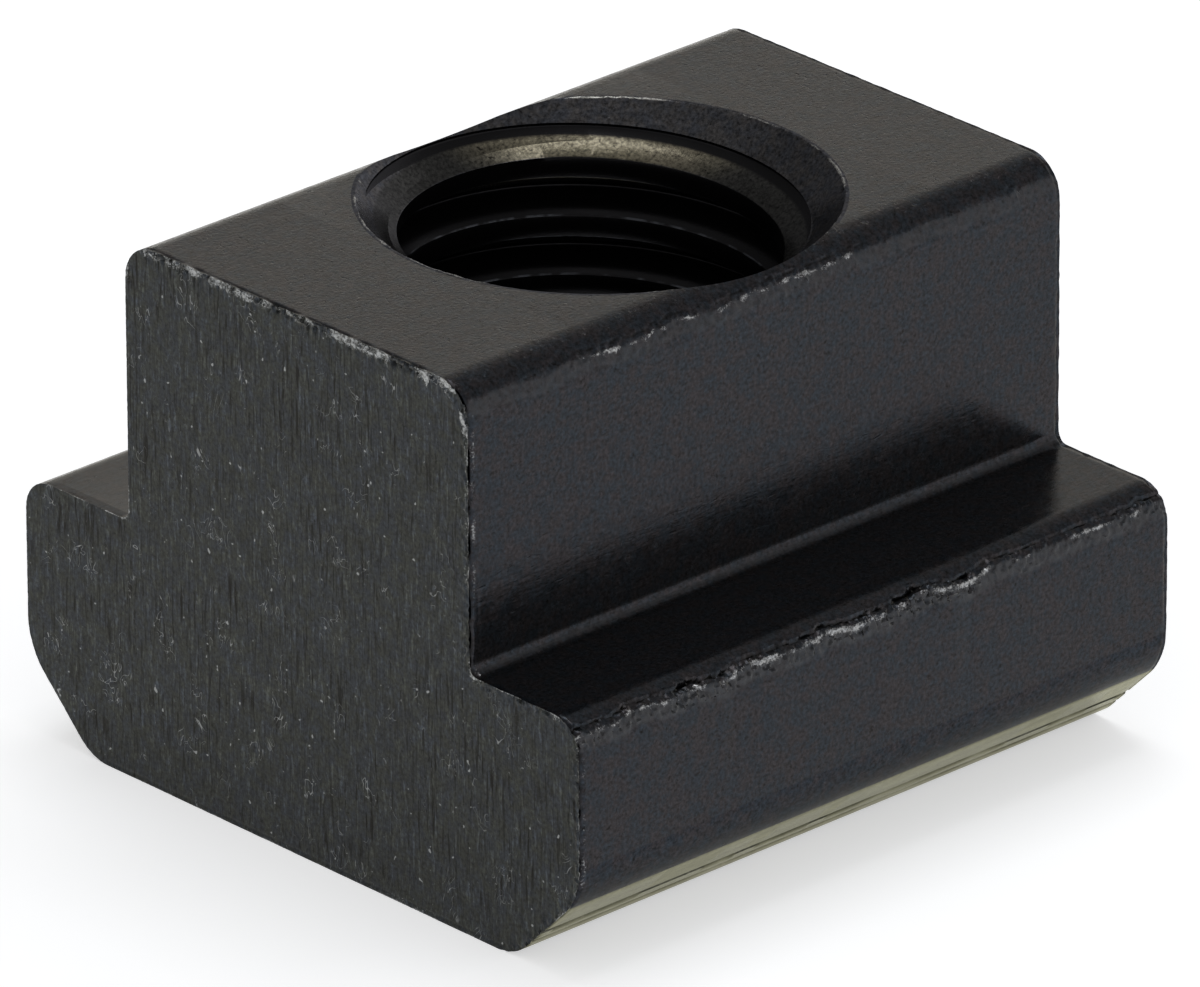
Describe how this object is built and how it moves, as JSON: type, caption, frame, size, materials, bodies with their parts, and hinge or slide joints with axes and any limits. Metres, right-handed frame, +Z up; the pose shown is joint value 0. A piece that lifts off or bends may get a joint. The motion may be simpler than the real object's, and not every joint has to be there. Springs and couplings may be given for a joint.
{
  "type": "t slot nut",
  "caption": "T-slot nut: a rounded T-section block sawn from drawn steel, with a tapped hole down through its neck.",
  "frame": {"origin": "on the axis of the tapped hole, in the plane of the underside", "axes": "+Z up through the neck along the hole, X along the slot, Y across it"},
  "size_m": [0.0218, 0.022, 0.016],
  "materials": {
    "black_oxide_steel": "satin"
  },
  "bodies": {
    "root": {"t_nut_body": "black_oxide_steel"}
  },
  "joints": []
}
